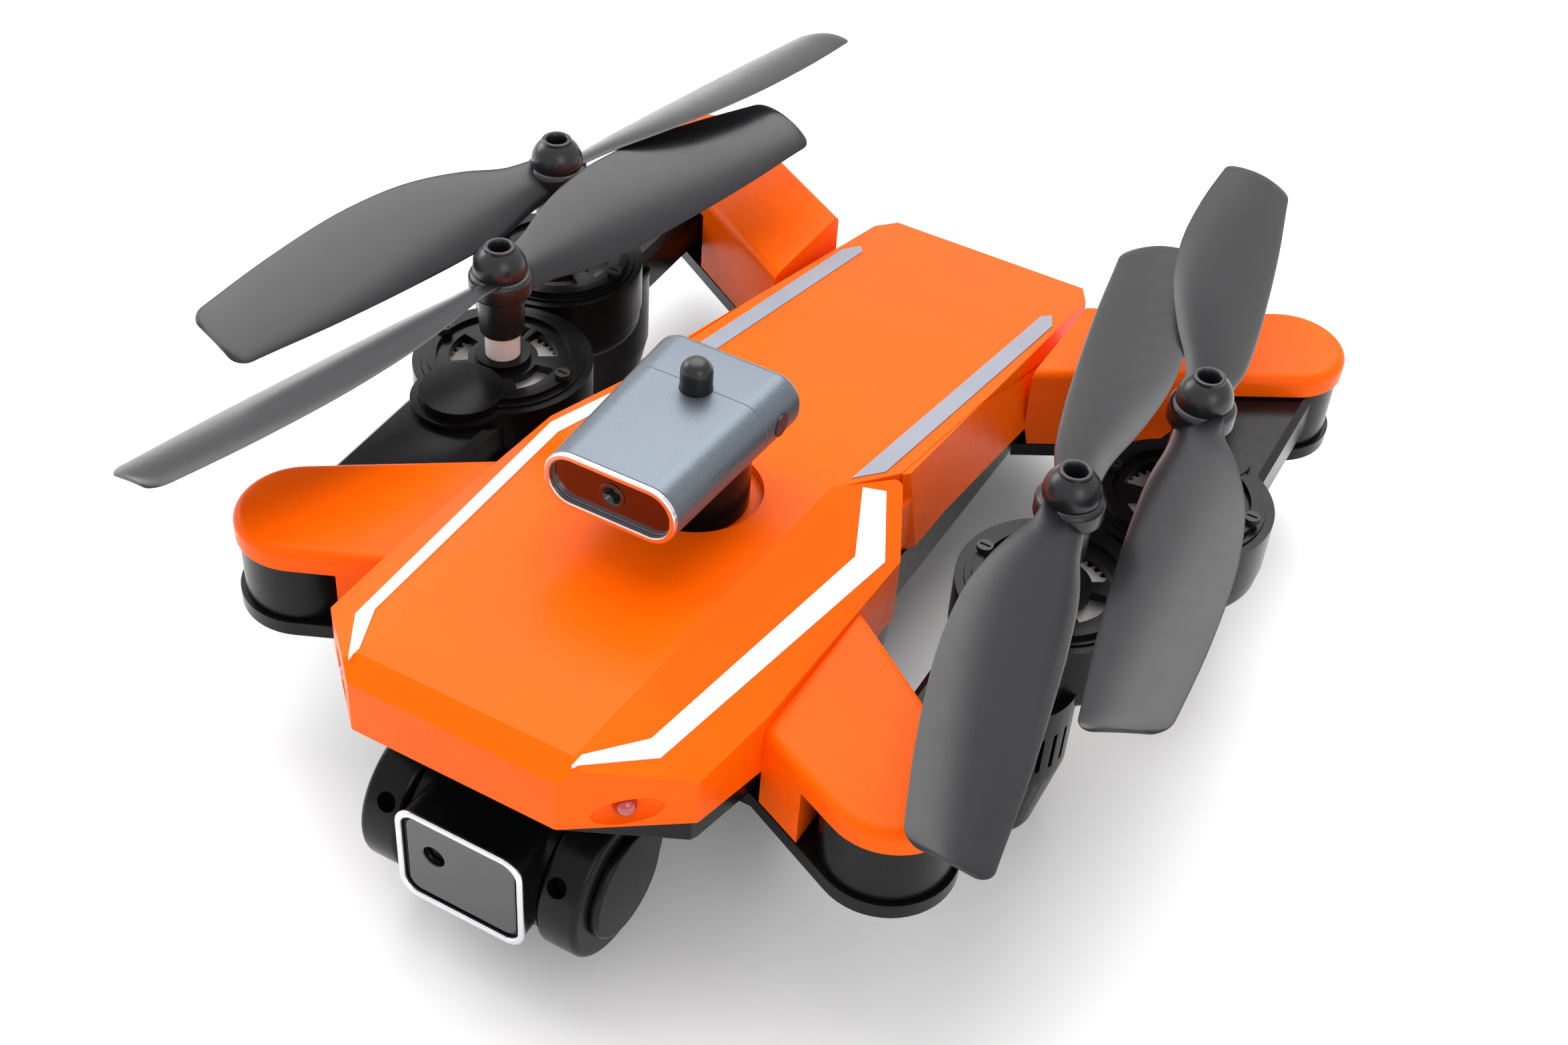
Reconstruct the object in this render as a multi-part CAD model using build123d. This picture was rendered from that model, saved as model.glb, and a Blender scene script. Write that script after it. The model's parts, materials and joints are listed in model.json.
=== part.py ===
from build123d import *
import math
import os

# Folding camera drone, stored with its four arms folded along the body.
# Frame: nose towards -Y, +Z up.  "Right" is +X, as seen by someone in front of the nose.
# The origin is on the ground under the middle of the folded drone.  All sizes in millimetres.

# ---- body ----
WALL = 1.2
NOSE_Y = -79.0
TAIL_Y = 66.7
SEAM_Y = -17.7
BELLY_Z = 14.0
HOOD_OUTLINE = [(14.0, NOSE_Y), (25.6, -67.7), (26.6, -53.7), (26.6, -20.0), (20.4, -7.5), (14.8, SEAM_Y)]
SIDE_OUTLINE = [(20.4, -7.5), (22.6, -4.0), (22.6, 48.0), (22.0, 62.0), (20.4, TAIL_Y)]
DECK_SECTIONS = [(-20.0, 21.4, 42.2, 22.9, 21.0), (70.0, 18.6, 24.2, 22.5, 14.0)]
TUB_OUTLINE = [(25.0, -51.0), (25.6, -48.0), (25.6, -20.4), (21.6, -7.8), (21.6, 60.0), (18.6, 65.6)]
TUB_CHAMFER = (3.6, 4.4)
PAN_OUTLINE = [(13.6, -78.2), (24.6, -67.4), (25.6, -53.7), (25.6, -46.0)]
PLATEAU = ((0, -67.4, 44.8), (0, 0.0545, 1))
SHOULDER = ((19.0, -67.4, 42.8), (0.45, 0.052, 1))
DECK = ((0, -1.2, 38.4), (0, 0.2, 1))
NOSE_LIP = ((0, NOSE_Y, 43.4), (0, -0.62, 1))
PARTING_LINE = [(-90, 38.4), (-54.0, 29.8), (-20.0, 27.0), (5.0, 25.0), (36.0, 20.0), (80.0, 16.6)]
PAN_UNDERSIDE = [(-90, 40.4), (-78.6, 34.9), (-66.0, 28.4), (-50.0, 25.0), (-46.0, 24.4)]
BAY_HALF = 20.2
BAY_FLOOR_Z = 15.6
SLIDE_GAP = 0.1

# ---- battery module ----
TRAY_T = 1.5
CELL = (34.0, 46.0, 11.0)
CELL_Y = 17.5
BUTTON_R = 2.0
BUTTON_Z = 20.9

# ---- arm lugs and pivots ----
FRONT_PIVOT = (42.6, -52.5)
REAR_PIVOT = (51.4, 62.5)
FRONT_HUB = (43.2, -7.7)
REAR_HUB = (50.9, 17.7)
FRONT_LUG_ROOT = [(24.0, -53.5), (24.0, -28.4)]
REAR_LUG_ROOT = [(20.6, 33.0), (20.6, 54.0)]
LUG_R = 8.7
LUG_TOP = {"front": 36.8, "rear": 30.8}
PLATE_BOTTOM = {"front": 22.3, "rear": 15.2}
CAP_T = 3.5
PLATE_T = 2.2
ROOT_BLOCK_X = {"front": 33.4, "rear": 42.2}
KNUCKLE_R = 8.2
FACE_GAP = 0.2
PIN_R = 2.0
PIN_GAP = 0.05

# ---- motor pods ----
POD_R = 12.9
LOBE_R = 7.2
POD_WALL = 1.2
POD_TOP = 32.0
POD_PARTING = 24.5
POD_BOTTOM = 21.0
BAR_TOP = {"front": 31.0, "rear": 26.9}
BAR_BOTTOM = {"front": 24.8, "rear": 20.2}
COVER_Z = 31.0
COVER_T = 1.3
FOOT_R = 8.8
FOOT_BEND_Z = 12.0
FOOT_BASE_R = 6.2

# ---- drive ----
MODULE = 0.4
GEAR_TEETH = 42
PINION_TEETH = 9
CENTRE_DISTANCE = MODULE * (GEAR_TEETH + PINION_TEETH) / 2
GEAR_Z = 27.6
GEAR_T = 2.4
MOTOR_R = 4.25
MOTOR_BASE_Z = 5.0
MOTOR_LENGTH = 20.6
SHAFT_R = 2.5
BEARING_GAP = 0.08

# ---- propellers ----
PROP_R = 61.5
BLADE_Z = 45.6
BLADE_T = 0.9
HUB_TOP = 51.3
DOME_R = 3.8
COLLAR_R = 4.4
NECK_R = 3.2
NECK_BOTTOM = 37.0
PROP_TURN = {"front": 11.5, "rear": 12.5}
PROP_RISE = {"front": 0.0, "rear": 1.7}
BLADE_TWIST_ROOT = 30.0
BLADE_TWIST_TIP = 17.0
BLADE_STATIONS = [(2.5, 3.0, 0.0), (7.0, 3.9, 0.2), (13.0, 5.7, 0.7), (22.0, 7.2, 1.5), (31.0, 7.6, 1.7),
                  (46.0, 6.9, 1.1),
                  (58.0, 5.6, 0.3), (PROP_R, 5.2, 0.0)]

# ---- camera ----
TILT = (-67.7, 16.2)
DRUM_R = 10.2
DRUM_X = (9.9, 15.6)
CAMERA_HALF = 9.6
BARREL_R = 9.2
FACE_Y = -78.2
FACE_HALF = 9.1
FACE_Z = (10.2, 25.5)
TRUNNION_R = 3.0

# ---- sensor head ----
HEAD_Y = -27.8
HEAD_SPAN = (-47.0, -18.4)
HEAD_Z = (50.1, 58.1)
HEAD_HALF = (9.1, 10.4)
STEM_R = 7.6
STEM_BASE_Z = 41.0
HEAD_JOINT_Y = -27.0
HEAD_DOME_AT = (0, -27.4)
DOME_HOLE_R = 2.05

# Printed bands (plan outlines) and the nose lamps (how far out the recess's middle lies, its half axes).
HOOD_STRIPE = [(15.0, -77.2), (21.0, -68.6), (25.3, -21.9), (20.0, -11.6), (17.6, -13.9), (22.3, -24.6),
               (19.0, -67.4), (15.0, -75.2)]
DECK_STRIPE = [(15.6, -13.2), (18.3, -8.6), (18.3, 49.5), (16.8, 53.0), (15.6, 51.5)]
LAMP_OUT = 0.35
LAMP_RECESS = (4.3, 2.0, 1.9)

FAR = 200.0

# Moves the whole model so that its middle along Y lies on the origin.
CENTRE_SHIFT = 0.261


def right_and_left(shape):
    """A piece and its mirror image across the middle plane."""
    return [shape, mirror(shape, Plane.YZ)]


def mirrored_outline(half):
    """Closes a half outline, given from nose to tail at +X, across the middle plane."""
    return half + [(-x, y) for x, y in reversed(half)]


def prism(points, low, high):
    """An upright prism over a closed polygon of (x, y) points."""
    face = make_face(Polyline(*points, close=True))
    return extrude(Plane.XY.offset(low) * face, high - low)


def upright(radius, centre, low, high):
    """An upright cylinder."""
    standing = (Align.CENTER, Align.CENTER, Align.MIN)
    return Pos(centre[0], centre[1], low) * Cylinder(radius, high - low, align=standing)


def crosswise(radius, y, z, x_from, x_to):
    """A cylinder that lies along X."""
    start = Plane(origin=(x_from, y, z), x_dir=(0, 1, 0), z_dir=(1, 0, 0))
    return start * Cylinder(radius, x_to - x_from, align=(Align.CENTER, Align.CENTER, Align.MIN))


def above(plane, lift=0.0, flip=False):
    """The half space over a sloping plane given as (point, normal)."""
    point, normal = plane
    if flip:
        point, normal = (-point[0], point[1], point[2]), (-normal[0], normal[1], normal[2])
    base = Plane(origin=(point[0], point[1], point[2] + lift), z_dir=normal)
    return base * Box(FAR, 2 * FAR, 60, align=(Align.CENTER, Align.CENTER, Align.MIN))


def under_line(points, drop=0.0):
    """Everything below a side profile of (y, z) points, as wide as the body."""
    profile = [(y, z - drop) for y, z in points]
    profile += [(profile[-1][0], -20.0), (profile[0][0], -20.0)]
    return extrude(Plane.YZ.offset(-FAR / 2) * make_face(Polyline(*profile, close=True)), FAR)


def trimmed_top(block, drop=0.0):
    """Cuts the hood's plateau, its two sloping shoulders and the nose lip."""
    for plane, flip in ((PLATEAU, False), (SHOULDER, False), (SHOULDER, True), (NOSE_LIP, False)):
        block -= above(plane, -drop, flip)
    return block


def inset(points, amount):
    """A closed polygon face moved inwards."""
    return offset(make_face(Polyline(*points, close=True)), -amount, kind=Kind.INTERSECTION)


def hood_block(drop=0.0, amount=0.0):
    """The solid shape of the hood, or of the room inside it."""
    face = inset(mirrored_outline(HOOD_OUTLINE), amount) if amount else make_face(
        Polyline(*mirrored_outline(HOOD_OUTLINE), close=True))
    return trimmed_top(extrude(Plane.XY.offset(20.0) * face, 30.0), drop) - under_line(PARTING_LINE)


def nose_corner():
    """The slab behind one slanting nose corner, where the lamp panel is let in."""
    middle = (19.8, -73.35)
    along = Vector(11.6, 11.3, 0).normalized()
    plane = Plane(origin=(middle[0], middle[1], 36.9), x_dir=along, z_dir=along.cross(Vector(0, 0, 1)))
    return plane, plane * Box(12.6, 7.2, 3.2)


def stripe_prism(points):
    """A stripe's plan outline as an upright prism."""
    return prism(points, 20.0, 55.0)


def loft_deck():
    """A long wedge with a flat sloping top and flanks that flare outwards below."""
    sections = []
    for y, top_half, top_z, low_half, low_z in DECK_SECTIONS:
        corners = [(top_half, top_z), (low_half, low_z), (-low_half, low_z), (-top_half, top_z)]
        plane = Plane(origin=(0, y, 0), x_dir=(1, 0, 0), z_dir=(0, -1, 0))
        sections.append(plane * make_face(Polyline(*corners, close=True)))
    return loft(sections, ruled=True)


def deck_block():
    """The part of the wedge that the two side walls are cut from."""
    side = make_face(Polyline(*mirrored_outline(SIDE_OUTLINE), close=True))
    return loft_deck() & extrude(Plane.XY.offset(10.0) * side, 40.0)


def hood_stripes():
    """Two thin strips let into the hood's shoulders."""
    band = above(SHOULDER, -0.35) - above(SHOULDER, 0.12)
    strip = stripe_prism(HOOD_STRIPE) & band
    strip -= above(PLATEAU, 0.0)
    return Compound(right_and_left(strip))


def upper_shell():
    """The orange hood and the two side walls of the battery bay."""
    hood = fillet(hood_block().edges().filter_by(Axis.Z), 0.8)
    hood -= hood_block(WALL, WALL)
    walls = deck_block() - under_line(PARTING_LINE)
    walls -= Pos(0, 40, 30) * Box(2 * BAY_HALF, 140, 60)
    shell = hood + walls
    for half in right_and_left(Pos(20.8, -10.5, 31.0) * Box(1.1, 9.0, 8.0)):
        shell += half
    shell -= upright(9.4, (0, HEAD_Y), STEM_BASE_Z - 0.2, 60.0)
    shell += upright(9.9, (0, HEAD_Y), STEM_BASE_Z - 1.4, STEM_BASE_Z - 0.2)
    shell -= upright(4.1, (0, HEAD_Y), 30, 50)
    for corner in right_and_left(nose_corner()[1]):
        shell -= corner
    for strip in hood_stripes().solids():
        shell -= strip
    return shell


def lamp_axis(depth):
    """A plane on the lamp's axis, facing out of the slanting nose corner."""
    plane = nose_corner()[0]
    return Plane(origin=plane.origin + plane.z_dir * depth, x_dir=plane.x_dir, z_dir=plane.z_dir)


def lamp_panels():
    """The two slanting nose panels with an oval recess for the lamp."""
    solid = (hood_block() & nose_corner()[1])
    recess = lamp_axis(LAMP_OUT) * scale(Sphere(1.0), by=LAMP_RECESS)
    hole = lamp_axis(-6.0) * Cylinder(1.4, 12.0)
    panel = solid - recess - hole
    return Compound(right_and_left(panel))


def lamps():
    """Two clear lamp bodies with domed ends."""
    body = lamp_axis(-3.2) * Cylinder(1.4, 4.0)
    lamp = body + lamp_axis(-1.2) * Sphere(1.4)
    return Compound(right_and_left(lamp))


def lug_outline(pivot, root, radius=LUG_R):
    """A tongue from the body to a round end over an arm pivot."""
    end = Pos(*pivot) * Circle(radius).edge()
    return make_hull([end, Line(*root)])


def lug_cap(which, pivot, root):
    """The orange tongue over an arm's knuckle, deeper where it meets the body."""
    top = LUG_TOP[which]
    cap = extrude(Plane.XY.offset(top - CAP_T) * lug_outline(pivot, root), CAP_T)
    cap = fillet(cap.faces().sort_by(Axis.Z)[-1].edges(), 1.4)
    depth = PLATE_BOTTOM[which] + PLATE_T + 0.1
    block = extrude(Plane.XY.offset(depth) * lug_outline(pivot, root), top - CAP_T - depth)
    outer_side = Box(60, 60, 60, align=(Align.MIN, Align.CENTER, Align.CENTER))
    block -= Pos(ROOT_BLOCK_X[which], pivot[1], 25) * outer_side
    cap += block
    cap -= prism(mirrored_outline(HOOD_OUTLINE), 5, 50)
    cap -= deck_block() + prism(mirrored_outline([(21.8, -30.0), (21.8, 80.0)]), 5, 50)
    cap -= prism(mirrored_outline(TUB_OUTLINE), 5, 30)
    return cap - upright(PIN_R, pivot, 10, top - 1.2)


def lower_shell():
    """The black belly tub, the nose pan and the four plates under the arm knuckles."""
    tub = prism(mirrored_outline(TUB_OUTLINE), BELLY_Z, 40.0)
    low = make_face(Polyline(*mirrored_outline(TUB_OUTLINE), close=True))
    narrow, height = TUB_CHAMFER
    tub = extrude(Plane.XY.offset(BELLY_Z + height) * low, 25.0)
    tub += loft([Plane.XY.offset(BELLY_Z) * inset(mirrored_outline(TUB_OUTLINE), narrow),
                 Plane.XY.offset(BELLY_Z + height) * low])
    tub &= under_line(PARTING_LINE)
    tub -= Pos(0, -34.8, BELLY_Z + WALL + 20) * Box(46.0, 28.0, 40)
    tub -= Pos(0, 40 - 8.8, BAY_FLOOR_Z + 20) * Box(2 * BAY_HALF, 97.8, 40)
    pan = prism(mirrored_outline(PAN_OUTLINE), 20.0, 45.0) & under_line(PARTING_LINE)
    pan -= under_line(PAN_UNDERSIDE)
    pan -= prism(mirrored_outline(TUB_OUTLINE), 5, 50)
    shell = tub + pan
    for which, pivot, root in lug_places():
        outline = lug_outline(pivot, root, LUG_R + 0.2)
        plate = extrude(Plane.XY.offset(PLATE_BOTTOM[which]) * outline, PLATE_T)
        plate -= upright(PIN_R, pivot, 10, 30)
        for half in right_and_left(plate):
            shell += half
    shell -= Pos(0, -34.8, BELLY_Z + WALL + 20) * Box(46.0, 28.0, 40)
    shell -= Pos(0, 40 - 8.8, BAY_FLOOR_Z + 20) * Box(2 * BAY_HALF, 97.8, 40)
    shell -= upright(2.6, (0, -38), 10, 16)
    return shell


def lug_places():
    """Name, pivot and root edge of the two right-hand lugs."""
    return (("front", FRONT_PIVOT, FRONT_LUG_ROOT), ("rear", REAR_PIVOT, REAR_LUG_ROOT))


def pivot_pins():
    """One headed pin through each lug, plate and knuckle."""
    pins = []
    for which, pivot, _ in lug_places():
        foot = PLATE_BOTTOM[which]
        pin = upright(PIN_R, pivot, foot - 0.6, LUG_TOP[which] - 1.2)
        pin += upright(PIN_R + 1.4, pivot, foot - 1.4, foot)
        pins += right_and_left(pin)
    return Compound(pins)


# ---- battery module ----
def battery_block(drop=0.0, margin=0.0):
    """The battery module's outer wedge, or the room inside it."""
    half = BAY_HALF - SLIDE_GAP - margin
    front = SEAM_Y + 0.2 + margin
    points = [(14.6 - margin, front), (half, -7.2 + margin), (half, 60.0), (half - 3.4, TAIL_Y - margin)]
    block = prism(mirrored_outline(points), BAY_FLOOR_Z + SLIDE_GAP + TRAY_T, 60.0)
    return block - above(DECK, -drop)


def deck_stripes():
    """Two thin strips let into the battery cover."""
    band = above(DECK, -0.35) - above(DECK, 0.12)
    return Compound(right_and_left(stripe_prism(DECK_STRIPE) & band))


def battery_cover():
    """The orange wedge-shaped battery cover, open below."""
    cover = (battery_block() & loft_deck()) - battery_block(WALL, 2 * WALL)
    for strip in deck_stripes().solids():
        cover -= strip
    return cover - tail_pin(BUTTON_R + 0.2, TAIL_Y - 5.0, TAIL_Y + 1.0)


def battery_tray():
    """The black base plate of the battery module."""
    half = BAY_HALF - SLIDE_GAP
    points = [(14.6, SEAM_Y + 0.4), (half, -7.0), (half, 60.0), (half - 3.4, TAIL_Y)]
    return prism(mirrored_outline(points), BAY_FLOOR_Z + SLIDE_GAP, BAY_FLOOR_Z + SLIDE_GAP + TRAY_T)


def battery_cell():
    """The wrapped lithium cell."""
    base = BAY_FLOOR_Z + SLIDE_GAP + TRAY_T
    cell = Pos(0, CELL_Y, base) * Box(*CELL, align=(Align.CENTER, Align.CENTER, Align.MIN))
    return fillet(cell.edges().filter_by(Axis.Y), 2.0)


def tail_pin(radius, y_from, y_to):
    """A cylinder that lies along Y on the power button's axis."""
    start = Plane(origin=(0, y_from, BUTTON_Z), x_dir=(1, 0, 0), z_dir=(0, 1, 0))
    return start * Cylinder(radius, y_to - y_from, align=(Align.CENTER, Align.CENTER, Align.MIN))


def power_button():
    """The round push button in the battery's tail, with the flange that keeps it in."""
    flange_y = TAIL_Y - 2 * WALL - 1.2
    cap = tail_pin(BUTTON_R, flange_y, TAIL_Y + 0.5)
    cap = fillet(cap.edges().filter_by(GeomType.CIRCLE).sort_by(Axis.Y)[-1], 0.3)
    return cap + tail_pin(BUTTON_R + 0.7, flange_y, flange_y + 1.0)


def flight_board():
    """The circuit board under the hood with its main chips."""
    board = Pos(0, -34.8, 21.0) * Box(40.0, 26.0, 1.0)
    for x, y, size in ((-10, -38, 7), (6, -30, 6), (14, -40, 4)):
        board += Pos(x, y, 22.0) * Box(size, size, 1.0)
    for x, y in ((-17, -45), (17, -45), (-17, -25), (17, -25)):
        board += upright(1.6, (x, y), BELLY_Z + WALL, 20.5)
    return board


def flow_camera():
    """The small downward camera in the belly."""
    return upright(2.5, (0, -38), BELLY_Z + 0.2, BELLY_Z + 3.0)


# ---- arms, written for the right-hand side ----
def unit(vector):
    """The vector made one long."""
    length = math.hypot(*vector)
    return (vector[0] / length, vector[1] / length)


def motor_place(pivot, hub):
    """The motor's axis, on the line from the propeller hub towards the arm's pivot."""
    along = unit((pivot[0] - hub[0], pivot[1] - hub[1]))
    return (hub[0] + along[0] * CENTRE_DISTANCE, hub[1] + along[1] * CENTRE_DISTANCE)


def arm_upper(which, pivot, hub):
    """Knuckle, bar and the upper part of the gear pod, as one moulding."""
    motor = motor_place(pivot, hub)
    low = PLATE_BOTTOM[which] + PLATE_T + FACE_GAP
    knuckle = upright(KNUCKLE_R, pivot, low, LUG_TOP[which] - CAP_T - FACE_GAP)
    bar_ends = [Pos(*pivot) * Circle(6.4).edge(), Pos(*motor) * Circle(LOBE_R).edge()]
    bar_height = BAR_TOP[which] - BAR_BOTTOM[which]
    bar = extrude(Plane.XY.offset(BAR_BOTTOM[which]) * make_hull(bar_ends), bar_height)
    bar = chamfer(bar.faces().sort_by(Axis.Z)[-1].edges(), 1.0)
    pod = upright(POD_R, hub, POD_PARTING, POD_TOP) + upright(LOBE_R, motor, POD_PARTING, POD_TOP)
    arm = knuckle + bar + pod
    well = upright(POD_R - POD_WALL, hub, POD_PARTING + 1.4, 40)
    well += upright(LOBE_R - POD_WALL, motor, POD_PARTING + 1.4, 40)
    arm -= well
    arm -= upright(SHAFT_R + BEARING_GAP, hub, 10, 40)
    arm -= upright(MOTOR_R, motor, 10, 40)
    return arm - upright(PIN_R + PIN_GAP, pivot, 5, 45)


def arm_lower(which, pivot, hub):
    """The lower pod shell with the long foot that holds the motor."""
    motor = motor_place(pivot, hub)
    base = upright(POD_R - 0.3, hub, POD_BOTTOM, POD_PARTING)
    base = fillet(base.edges().filter_by(GeomType.CIRCLE).sort_by(Axis.Z)[0], 1.6)
    foot = upright(FOOT_R, motor, FOOT_BEND_Z, POD_PARTING)
    taper = Pos(motor[0], motor[1], 0) * Cone(FOOT_BASE_R, FOOT_R, FOOT_BEND_Z,
                                              align=(Align.CENTER, Align.CENTER, Align.MIN))
    shell = base + foot + taper
    shell -= upright(POD_R - 1.6, hub, POD_BOTTOM + 1.2, 40) - upright(MOTOR_R + 1.4, motor, 0, 50)
    shell -= upright(MOTOR_R, motor, MOTOR_BASE_Z, 40)
    shell -= upright(SHAFT_R + BEARING_GAP, hub, POD_BOTTOM + 1.2, 40)
    for turn in (-1, 0, 1):
        angle = math.radians(-20 + 14 * turn)
        spot = (motor[0] + FOOT_R * math.cos(angle), motor[1] + FOOT_R * math.sin(angle), 17.0)
        shell -= Pos(*spot) * Rot(0, 0, math.degrees(angle)) * Box(1.6, 0.7, 6.0)
    bar_ends = [Pos(*pivot) * Circle(6.5).edge(), Pos(*motor) * Circle(LOBE_R + 0.1).edge()]
    shell -= extrude(Plane.XY.offset(BAR_BOTTOM[which]) * make_hull(bar_ends), 20)
    shell -= upright(KNUCKLE_R + 0.1, pivot, 5, 45)
    return shell


def arc_slot(centre, inner, outer, middle, sweep):
    """An arc-shaped window cut through a cover plate."""
    ring = upright(outer, centre, COVER_Z - 1, COVER_Z + 6)
    ring -= upright(inner, centre, COVER_Z - 1, COVER_Z + 6)
    angles = [math.radians(middle + sweep * share / 2) for share in (-1, -0.5, 0, 0.5, 1)]
    fan = [centre] + [(centre[0] + 20 * math.cos(a), centre[1] + 20 * math.sin(a)) for a in angles]
    return ring & prism(fan, COVER_Z - 1, COVER_Z + 6)


def gear_cover(pivot, hub):
    """The figure-eight cover with arc windows over the big gear."""
    motor = motor_place(pivot, hub)
    top = COVER_Z + COVER_T
    cover = upright(POD_R - POD_WALL - 0.05, hub, COVER_Z, top)
    cover += upright(LOBE_R - POD_WALL - 0.05, motor, COVER_Z, top + 0.9)
    cover += upright(POD_R - 2.2, hub, COVER_Z, top + 0.7) - upright(POD_R - 3.4, hub, COVER_Z, top + 2)
    cover += upright(SHAFT_R + 1.5, hub, COVER_Z, top + 1.0)
    cover -= upright(SHAFT_R + BEARING_GAP, hub, COVER_Z - 1, top + 3)
    towards = math.degrees(math.atan2(motor[1] - hub[1], motor[0] - hub[0]))
    for middle in (towards + 75, towards + 150, towards - 75, towards - 150):
        cover -= arc_slot(hub, 5.0, 7.8, middle, 52)
    return cover


def cover_screws(pivot, hub):
    """Two small screws that hold the gear cover."""
    motor = motor_place(pivot, hub)
    side = unit((pivot[0] - hub[0], pivot[1] - hub[1]))
    screws = []
    for turn in (1, -1):
        spot = (hub[0] - side[1] * turn * (POD_R - 2.8), hub[1] + side[0] * turn * (POD_R - 2.8))
        head = upright(1.1, spot, COVER_Z + COVER_T + 0.7, COVER_Z + COVER_T + 1.4)
        screws.append(head - Pos(spot[0], spot[1], COVER_Z + COVER_T + 1.4) * Box(1.5, 0.35, 0.6))
    return Compound(screws)


def gear_outline(teeth, turn=0.0):
    """A spur gear's outline with flat-sided teeth, thinned for backlash."""
    pitch_r = MODULE * teeth / 2
    tip_r = pitch_r + 0.8 * MODULE
    root_r = pitch_r - 1.15 * MODULE
    step = 2 * math.pi / teeth
    points = []
    for tooth in range(teeth):
        middle = turn + tooth * step
        for radius, share in ((root_r, -0.30), (tip_r, -0.115), (tip_r, 0.115), (root_r, 0.30)):
            angle = middle + share * step
            points.append((radius * math.cos(angle), radius * math.sin(angle)))
    return points


def placed(points, centre):
    """The points moved by the centre."""
    return [(x + centre[0], y + centre[1]) for x, y in points]


def motor_angle(pivot, hub):
    """The direction from the propeller hub to the motor, in radians."""
    motor = motor_place(pivot, hub)
    return math.atan2(motor[1] - hub[1], motor[0] - hub[0])


def main_gear(pivot, hub):
    """The white nylon gear and its hollow shaft, moulded in one."""
    gear = prism(placed(gear_outline(GEAR_TEETH, motor_angle(pivot, hub)), hub), GEAR_Z, GEAR_Z + GEAR_T)
    gear += upright(SHAFT_R + 1.1, hub, POD_PARTING + 1.6, COVER_Z - 0.2)
    gear += upright(SHAFT_R, hub, POD_BOTTOM + 1.4, NECK_BOTTOM + 2.5)
    return gear


def pinion(pivot, hub):
    """The motor's small brass pinion, with a tooth gap facing the gear's tooth."""
    motor = motor_place(pivot, hub)
    turn = motor_angle(pivot, hub) + math.pi + math.pi / PINION_TEETH
    gear = prism(placed(gear_outline(PINION_TEETH, turn), motor), GEAR_Z - 0.2, GEAR_Z + GEAR_T + 0.2)
    gear += upright(0.5, motor, MOTOR_BASE_Z + MOTOR_LENGTH + 1.1, GEAR_Z)
    return gear


def motor_can(pivot, hub):
    """The coreless motor in the foot."""
    motor = motor_place(pivot, hub)
    can = upright(MOTOR_R, motor, MOTOR_BASE_Z, MOTOR_BASE_Z + MOTOR_LENGTH)
    can = chamfer(can.edges().filter_by(GeomType.CIRCLE).sort_by(Axis.Z)[-1], 0.4)
    can += upright(1.6, motor, MOTOR_BASE_Z + MOTOR_LENGTH, MOTOR_BASE_Z + MOTOR_LENGTH + 0.9)
    return can


def blade_section(radius, half_chord, bulge, handed):
    """A thin lens-shaped blade section, twisted about the blade's axis and shifted towards its high edge."""
    share = radius / PROP_R
    pitch = math.radians(BLADE_TWIST_ROOT + (BLADE_TWIST_TIP - BLADE_TWIST_ROOT) * share) * handed
    across = (math.cos(pitch), math.sin(pitch))
    thick = BLADE_T * (1.25 - 0.6 * share) / 2
    lift = (-math.sin(pitch) * thick, math.cos(pitch) * thick)
    middle = (handed * bulge * across[0], handed * bulge * across[1])
    ends = []
    for reach in (half_chord, -half_chord):
        ends.append((middle[0] + reach * across[0], middle[1] + reach * across[1]))
    plane = Plane(origin=(0, radius, 0), x_dir=(1, 0, 0), z_dir=(0, -1, 0))
    bow = 0.06 * half_chord
    camber = (middle[0] - math.sin(pitch) * bow, middle[1] + math.cos(pitch) * bow)
    top = ThreePointArc(ends[0], (camber[0] + lift[0], camber[1] + lift[1]), ends[1])
    low = ThreePointArc(ends[1], (camber[0] - lift[0], camber[1] - lift[1]), ends[0])
    return plane * make_face(Curve() + [top, low])


def blade(handed):
    """One blade along +Y from the hub, its tip rounded in plan."""
    body = loft([blade_section(*station, handed) for station in BLADE_STATIONS])
    corner = 1.8
    tip = prism([(-12, 0), (12, 0), (12, PROP_R - 6), (5.2, PROP_R - corner), (5.2 - corner, PROP_R),
                 (corner - 5.2, PROP_R), (-5.2, PROP_R - corner), (-12, PROP_R - 6)], -9, 9)
    return body & tip


def propeller(which, hub):
    """A two-blade propeller with a domed hub and a neck over the shaft."""
    handed = 1 if which == "front" else -1
    one = blade(handed)
    blades = one + Rot(0, 0, 180) * one
    turned = Pos(hub[0], hub[1], BLADE_Z) * Rot(0, 0, PROP_TURN[which]) * blades
    collar = upright(COLLAR_R, hub, BLADE_Z - 1.6, BLADE_Z + 1.2)
    collar = fillet(collar.edges().filter_by(GeomType.CIRCLE), 0.5)
    dome = upright(DOME_R, hub, BLADE_Z, HUB_TOP)
    dome = fillet(dome.edges().filter_by(GeomType.CIRCLE).sort_by(Axis.Z)[-1], 1.9)
    neck = upright(NECK_R, hub, NECK_BOTTOM, BLADE_Z)
    prop = turned + collar + dome + neck
    prop -= upright(1.7, hub, BLADE_Z + 1.4, 60)
    prop -= upright(SHAFT_R, hub, 20, NECK_BOTTOM + 2.5)
    return Pos(0, 0, PROP_RISE[which]) * prop


# ---- camera ----
def rounded_slab(half_x, z_low, z_high, y_from, y_to, radius):
    """A block along Y with rounded corners seen from the front."""
    face = RectangleRounded(2 * half_x, z_high - z_low, radius)
    start = Plane(origin=(0, y_to, (z_low + z_high) / 2), x_dir=(1, 0, 0), z_dir=(0, -1, 0))
    return extrude(start * face, y_to - y_from)


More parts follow.
